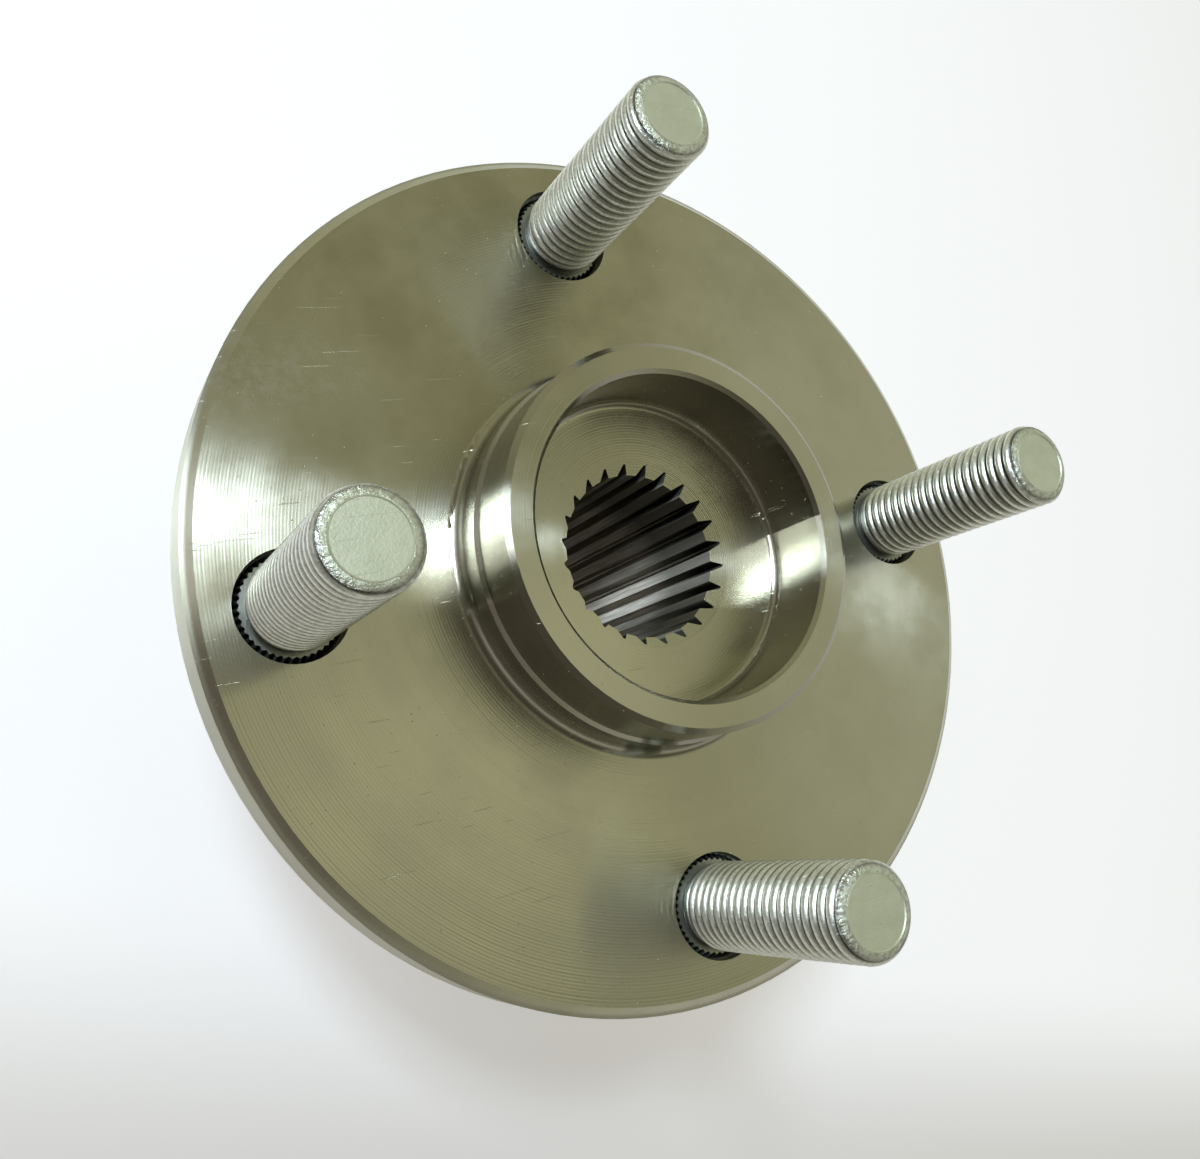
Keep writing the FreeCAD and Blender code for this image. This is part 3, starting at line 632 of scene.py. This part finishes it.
def finish_rubber(name, dark, pale, dullness):
    """Moulded rubber with a fine dull grain and dusty patches."""
    material, wiring, shader = new_finish(name)
    vector = wiring.place().vector
    grain = wiring.noise(vector, 6.0, 3.0, 0.65)
    dust = wiring.between(wiring.noise(vector, 0.35, 4.0, 0.6), 0.5, 0.75)
    set_surface(wiring, shader, wiring.mix(dust, dark, pale), wiring.sum(dullness, (grain, 0.2)))
    bump(wiring, shader, grain, 0.00002, 0.5)
    return material


# Threaded wheel studs

def allowed_radius(height):
    """Largest radius of the stud at a height: its neck, thread, lead and end bevel."""
    places = (
        (SHOULDER_HEIGHT - THREAD_PITCH, NECK_RADIUS),
        (SHOULDER_HEIGHT + NECK_STRAIGHT, NECK_RADIUS), (NECK_TOP, THREAD_RADIUS),
        (LEAD_BOTTOM, THREAD_RADIUS), (LEAD_TOP, LEAD_RADIUS),
        (STUD_TOP, END_RADIUS), (STUD_TOP + THREAD_PITCH, END_RADIUS))
    for (low, low_radius), (high, high_radius) in zip(places, places[1:]):
        if height <= high:
            share = (height - low) / (high - low)
            return low_radius + (high_radius - low_radius) * share
    return END_RADIUS


def thread_ridge():
    """Section of one turn of thread, as (radius, height) from root to root."""
    lower = [(THREAD_RADIUS - depth, height) for depth, height in RIDGE_HALF]
    upper = [(radius, THREAD_PITCH - height) for radius, height in reversed(lower[:-1])]
    return lower + upper


def set_radius(point, wanted):
    """Bring a point to a distance from the stud's axis, at the same height."""
    share = wanted / math.hypot(point.co.x, point.co.y)
    point.co.x *= share
    point.co.y *= share


def closes_end(face):
    """Whether a face closes the thread's upper end: level, at the top, with many corners."""
    return (face.calc_center_median().z > STUD_TOP - 0.01
            and face.normal.z ** 2 > 0.9 and len(face.verts) > 8)


def model_thread():
    """Rolled thread: one turn of ridge, stacked up the stud, trimmed and closed at both ends."""
    thread = bmesh.new()
    turns = math.ceil((STUD_TOP - SHOULDER_HEIGHT) / THREAD_PITCH) + 2
    start = SHOULDER_HEIGHT - THREAD_PITCH
    points = [thread.verts.new((radius, 0.0, start + height)) for radius, height in thread_ridge()]
    edges = [thread.edges.new(pair) for pair in zip(points, points[1:])]
    bmesh.ops.spin(
        thread, geom=points + edges, cent=(0, 0, 0), axis=(0, 0, 1), angle=math.tau,
        steps=ROUND_STEPS, dvec=(0, 0, THREAD_PITCH / ROUND_STEPS), use_merge=False)
    one_turn = thread.verts[:] + thread.edges[:] + thread.faces[:]
    for turn in range(1, turns):
        copied = bmesh.ops.duplicate(thread, geom=one_turn)["geom"]
        raised = [item for item in copied if isinstance(item, bmesh.types.BMVert)]
        bmesh.ops.translate(thread, vec=(0, 0, THREAD_PITCH * turn), verts=raised)
    bmesh.ops.remove_doubles(thread, verts=thread.verts, dist=THREAD_SEAM)

    # Cut away what is below the shoulder and above the end, and cut edges where the lead bends
    for height, outwards in ((SHOULDER_HEIGHT, -1), (LEAD_BOTTOM, 0), (LEAD_TOP, 0), (STUD_TOP, 1)):
        everything = thread.verts[:] + thread.edges[:] + thread.faces[:]
        bmesh.ops.bisect_plane(
            thread, geom=everything, dist=SAME_POINT, plane_co=(0, 0, height),
            plane_no=(0, 0, 1), clear_inner=outwards < 0, clear_outer=outwards > 0)
    for point in thread.verts:
        radius = math.hypot(point.co.x, point.co.y)
        set_radius(point, min(allowed_radius(point.co.z), radius))
    ends = [edge for edge in thread.edges if edge.is_boundary]
    bmesh.ops.holes_fill(thread, edges=ends, sides=0)
    cap = [face for face in thread.faces if closes_end(face)]
    for width, rise in END_STAMP:
        bmesh.ops.inset_region(thread, faces=cap, thickness=width, depth=rise)
    return thread


def tooth_share(point):
    """How far a point round the shank is up its tooth, from the valley to the tip."""
    phase = math.atan2(point.co.y, point.co.x) * TEETH / math.tau % 1.0
    return 1.0 - abs(phase - 0.5) * 2.0


def set_toothed_ring(points, valley, tip, height):
    """Bring a ring of points to the outline of the teeth, level at a height."""
    for point in points:
        set_radius(point, valley + (tip - valley) * tooth_share(point))
        point.co.z = height


def model_shank():
    """Toothed shank in the flange, its teeth sloped below the shoulder, and the head behind."""
    shank = bmesh.new()
    ring = bmesh.ops.create_circle(
        shank, cap_ends=True, segments=TEETH * POINTS_PER_TOOTH, radius=TOOTH_TIP_RADIUS)["verts"]
    edges = shank.edges[:]
    set_toothed_ring(ring, TOOTH_START_VALLEY_RADIUS, TOOTH_START_TIP_RADIUS, SHOULDER_HEIGHT)
    for height in (TOOTH_SLOPE_BOTTOM, FLANGE_BACK - SHANK_INTO_HEAD):
        grown = bmesh.ops.extrude_edge_only(shank, edges=edges)["geom"]
        ring = [item for item in grown if isinstance(item, bmesh.types.BMVert)]
        edges = [item for item in grown if isinstance(item, bmesh.types.BMEdge)]
        set_toothed_ring(ring, TOOTH_VALLEY_RADIUS, TOOTH_TIP_RADIUS, height)
    bmesh.ops.contextual_create(shank, geom=edges)

    outline = [
        (0.0, FLANGE_BACK), (HEAD_RADIUS - HEAD_EDGE, FLANGE_BACK),
        (HEAD_RADIUS, FLANGE_BACK - HEAD_EDGE), (HEAD_RADIUS, HEAD_BOTTOM + HEAD_BEVEL),
        (HEAD_RADIUS - HEAD_BEVEL, HEAD_BOTTOM), (DIMPLE_RADIUS, HEAD_BOTTOM),
        (DIMPLE_FLOOR_RADIUS, HEAD_BOTTOM + DIMPLE_DEPTH), (0.0, HEAD_BOTTOM + DIMPLE_DEPTH)]
    points = [shank.verts.new((radius, 0.0, height)) for radius, height in outline]
    edges = [shank.edges.new(pair) for pair in zip(points, points[1:])]
    bmesh.ops.spin(
        shank, geom=points + edges, cent=(0, 0, 0), axis=(0, 0, 1), angle=math.tau,
        steps=ROUND_STEPS, use_merge=True)
    return shank


def stand_stud(part, number):
    """Turn the stud a little about itself, and stand it on the stud circle, in metres."""
    angle = math.radians(360.0 / STUD_COUNT * (number - 1))
    own_turn = Matrix.Rotation(math.radians(STUD_OWN_TURN * number), 4, "Z")
    spot = Matrix.Translation((
        STUD_CIRCLE_RADIUS * math.cos(angle), STUD_CIRCLE_RADIUS * math.sin(angle), 0.0))
    bmesh.ops.transform(part, matrix=Matrix.Scale(MM, 4) @ spot @ own_turn, verts=part.verts)


def add_piece(name, part, material, body):
    """Close a modelled part into an object with its finish, riding on its body."""
    bmesh.ops.remove_doubles(part, verts=part.verts, dist=SAME_POINT * MM)
    bmesh.ops.recalc_face_normals(part, faces=part.faces)
    for edge in part.edges:
        edge.smooth = len(edge.link_faces) == 2 and edge.calc_face_angle(0.0) < SMOOTH_BELOW
    for face in part.faces:
        face.smooth = True
    mesh = bpy.data.meshes.new(name)
    part.to_mesh(mesh)
    part.free()
    mesh.materials.append(material)
    piece = bpy.data.objects.new(name, mesh)
    bpy.context.scene.collection.objects.link(piece)
    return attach(piece, body)


def add_studs(material):
    """The thread and the shank of every stud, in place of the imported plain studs."""
    thread = model_thread()
    shank = model_shank()
    for number in range(1, STUD_COUNT + 1):
        for name, model in (("stud_thread", thread), ("stud_shank", shank)):
            part = model.copy()
            stand_stud(part, number)
            piece = add_piece(f"{name}_{number}", part, material, "hub")
            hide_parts(f"wheel_stud_{number}")
    thread.free()
    shank.free()


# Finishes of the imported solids

def dress(prefixes, material):
    """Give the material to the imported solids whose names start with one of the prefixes."""
    for name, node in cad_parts.items():
        if name.startswith(prefixes):
            node.data.materials.clear()
            node.data.materials.append(material)


def dress_solids():
    """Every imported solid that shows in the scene, with the finish of its kind."""
    dress(("hub_flange",), finish_turned_steel())
    dress(("inner_ring",), finish_ground_steel())
    dress(("outer_ring",), finish_turned_forging())
    dress(("ball_",), finish_ball_steel())
    dress(("cage_",), finish_cage_plastic())
    dress(("seal_case", "slinger"), finish_sheet_steel())
    dress(("seal_lips",), finish_rubber(
        "nitrile_rubber", rgb(0.03, 0.03, 0.03), rgb(0.07, 0.07, 0.065), dullness=0.45))
    dress(("encoder_ring",), finish_rubber(
        "magnet_rubber", rgb(0.06, 0.045, 0.04), rgb(0.11, 0.09, 0.08), dullness=0.6))


# Studio

CAMERA_PLACE = Vector((-86.5356, -22.8245, 132.1622)) * MM
CAMERA_RIGHT = Vector((0.850012, -0.223273, 0.477105))
CAMERA_UP = Vector((0.127225, 0.965932, 0.225366))
CAMERA_BACK = Vector((-0.511169, -0.130864, 0.849459))
CAMERA_LENS = 33.22
CAMERA_SENSOR_WIDTH = 36.0
CAMERA_NEAREST = 0.005

# Lamps: name, direction, width and height in metres, power in watts, colour
LAMP_DISTANCE = 0.9
LAMPS = (
    ("window", (-0.318, 0.361, 0.877), 0.15, 0.22, 4.2, (0.74, 0.88, 1.0)),
    ("window_side", (-0.45, 0.25, 0.857), 0.19, 0.24, 1.2, (0.84, 0.93, 1.0)),
)

# Room that the steel mirrors, and the paler one that the camera sees
CEILING = rgb(0.47, 0.465, 0.30)
WINDOW_WALL = rgb(0.17, 0.16, 0.12)
BRIGHT_WALL = rgb(0.53, 0.54, 0.43)
SHADED_SIDE = rgb(0.10, 0.09, 0.07)
LOW_WALL = rgb(0.50, 0.44, 0.35)
DARK_CORNER = rgb(0.20, 0.19, 0.165)
TABLE_LIGHT = rgb(0.66, 0.64, 0.62)
SEEN_ROOM = rgb(0.93, 0.93, 0.93)

# Soft patches of that room: direction, colour, and the degrees at which each starts and ends
ROOM_PATCHES = (
    ((0.36, -0.03, 0.93), rgb(0.76, 0.75, 0.50), 4.0, 15.0),
    ((0.43, 0.42, 0.80), rgb(0.26, 0.25, 0.14), 6.0, 18.0),
    ((-0.50, -0.22, 0.84), rgb(0.04, 0.035, 0.03), 9.0, 17.0),
)

# Floor card: its height in millimetres and radius in metres, its own colours and those that
# it glows in, each from far to near, and where it turns from the one to the other
FLOOR_HEIGHT = -56.5125
FLOOR_RADIUS = 2.5
CARD_WHITE = rgb(0.80, 0.79, 0.81)
# The near colours of the card and of its glow are a painted shadow
CARD_PAINTED_SHADOW = rgb(0.55, 0.525, 0.52)
GLOW_WHITE = rgb(1.0, 0.99, 1.0)
GLOW_PAINTED_SHADOW = rgb(0.68, 0.65, 0.62)
GLOW_STRENGTH = 0.39
SHADOW_START = -50.0
SHADOW_END = -100.0


def add_camera():
    """The camera that took the photograph, as solved from its outlines."""
    camera = bpy.data.objects.new("camera", bpy.data.cameras.new("camera"))
    camera.data.lens = CAMERA_LENS
    camera.data.sensor_width = CAMERA_SENSOR_WIDTH
    camera.data.clip_start = CAMERA_NEAREST
    turn = Matrix((CAMERA_RIGHT, CAMERA_UP, CAMERA_BACK)).transposed()
    camera.matrix_world = Matrix.Translation(CAMERA_PLACE) @ turn.to_4x4()
    bpy.context.scene.collection.objects.link(camera)
    bpy.context.scene.camera = camera


def add_lamp(name, direction, width, height, power, colour):
    """A soft lamp that stands off in a direction and faces the bearing."""
    lamp = bpy.data.lights.new(name, "AREA")
    lamp.shape = "RECTANGLE"
    lamp.size = width
    lamp.size_y = height
    lamp.energy = power
    lamp.color = colour
    holder = bpy.data.objects.new(name, lamp)
    towards = Vector(direction).normalized()
    turn = towards.to_track_quat("Z", "Y").to_matrix().to_4x4()
    holder.matrix_world = Matrix.Translation(towards * LAMP_DISTANCE) @ turn
    bpy.context.scene.collection.objects.link(holder)


def room_patch(wiring, direction, towards, start, end):
    """One out to the starting angle from the patch's middle, zero past the ending angle."""
    facing = wiring.put("ShaderNodeVectorMath", operation="DOT_PRODUCT", inputs={
        0: direction, 1: Vector(towards).normalized(),
    }).outputs["Value"]
    return wiring.between(facing, math.cos(math.radians(end)), math.cos(math.radians(start)))


def light_world():
    """Soft room light: olive ceiling, bright wall to the right, shaded side in front."""
    world = bpy.data.worlds.new("room")
    world.use_nodes = True
    bpy.context.scene.world = world
    wiring = Wiring(world.node_tree)
    direction = wiring.put("ShaderNodeTexCoord").outputs["Generated"]
    across, along, up = wiring.put("ShaderNodeSeparateXYZ", inputs={"Vector": direction}).outputs
    window_side = wiring.times(wiring.between(across, 0.14, -0.04), wiring.between(up, 0.6, 0.75))
    patches = [
        (room_patch(wiring, direction, towards, start, end), colour)
        for towards, colour, start, end in ROOM_PATCHES]
    side = wiring.sum(wiring.times(along, 0.9), (across, 0.35))
    shade = wiring.times(wiring.between(side, 0.0, -0.22), wiring.between(up, 0.35, 0.55))
    corner = wiring.times(wiring.between(up, 0.45, 0.25), wiring.between(across, -0.2, -0.6))
    table = wiring.times(wiring.between(up, 0.4, 0.1), wiring.between(along, 0.0, -0.4))
    seen = wiring.put("ShaderNodeLightPath").outputs["Is Camera Ray"]
    room = wiring.coats(
        CEILING,
        (wiring.between(across, -0.5, -0.8), LOW_WALL),
        (window_side, WINDOW_WALL),
        (wiring.between(across, 0.5, 0.8), BRIGHT_WALL),
        *patches,
        (shade, SHADED_SIDE),
        (corner, DARK_CORNER),
        (table, TABLE_LIGHT),
        (seen, SEEN_ROOM))
    wiring.feed(world.node_tree.nodes["Background"].inputs["Color"], room)


def finish_white_card():
    """White card, darkened towards its near edge by a painted shadow, that shows white in the
    camera and in metal.
    """
    material, wiring, shader = new_finish("white_card")
    place = wiring.place()
    farness = wiring.sum(wiring.times(place.along, 0.966), (place.across, 0.377))
    # Painted shadow towards the card's near edge
    near_shadow = wiring.between(farness, SHADOW_START, SHADOW_END)
    set_surface(wiring, shader, wiring.mix(near_shadow, CARD_WHITE, CARD_PAINTED_SHADOW), dullness=0.8)
    wiring.feed(shader.inputs["Emission Color"], wiring.mix(near_shadow, GLOW_WHITE, GLOW_PAINTED_SHADOW))
    path = wiring.put("ShaderNodeLightPath").outputs
    mirrored = wiring.math("MAXIMUM", path["Is Glossy Ray"], path["Is Transmission Ray"])
    seen = wiring.math("MAXIMUM", path["Is Camera Ray"], mirrored)
    wiring.feed(shader.inputs["Emission Strength"], wiring.times(seen, GLOW_STRENGTH))
    return material


def add_floor():
    """The white card that the bearing stands over."""
    card = bmesh.new()
    bmesh.ops.create_circle(card, cap_ends=True, segments=ROUND_STEPS, radius=FLOOR_RADIUS)
    bmesh.ops.translate(card, vec=(0, 0, FLOOR_HEIGHT * MM), verts=card.verts)
    mesh = bpy.data.meshes.new("floor_card")
    card.to_mesh(mesh)
    card.free()
    mesh.materials.append(finish_white_card())
    floor = bpy.data.objects.new("floor_card", mesh)
    bpy.context.scene.collection.objects.link(floor)


dress_solids()
add_studs(finish_zinc_flake())
add_camera()
for lamp in LAMPS:
    add_lamp(*lamp)
light_world()
add_floor()
bpy.context.scene.view_settings.view_transform = "Standard"
